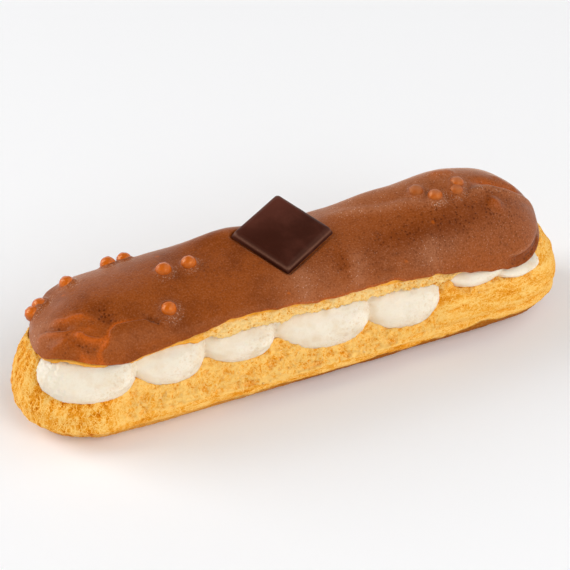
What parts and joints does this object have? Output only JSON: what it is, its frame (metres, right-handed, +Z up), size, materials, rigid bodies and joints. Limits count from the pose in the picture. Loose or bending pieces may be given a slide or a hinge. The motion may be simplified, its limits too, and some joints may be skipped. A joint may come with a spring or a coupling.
{
  "type": "filled eclair",
  "caption": "Long choux eclair, split and filled with piped cream lobes, with a milk chocolate glaze, crisp pearls and a bare dark chocolate plaque on top.",
  "frame": {"origin": "centre of the underside's bounding rectangle, on the surface the eclair lies on", "axes": "+X along the eclair's length to the right, -Y towards the side that shows in the picture, +Z up"},
  "size_m": [0.145, 0.037, 0.038],
  "materials": {
    "choux_crust": null,
    "cream": "off-white piped cream, soft satin with tiny bubbles",
    "choux_crumb": "lighter torn choux crumb at the lid's edge, dry",
    "milk_chocolate": "set milk chocolate glaze, satin, with caramel-coloured glossy pearls",
    "dark_chocolate": "dark chocolate, smooth satin, bare"
  },
  "bodies": {
    "root": {"choux_base": "choux_crust", "cream_filling": "cream", "choux_lid": "choux_crumb", "chocolate_glaze": "milk_chocolate", "chocolate_plaque": "dark_chocolate"}
  },
  "joints": []
}
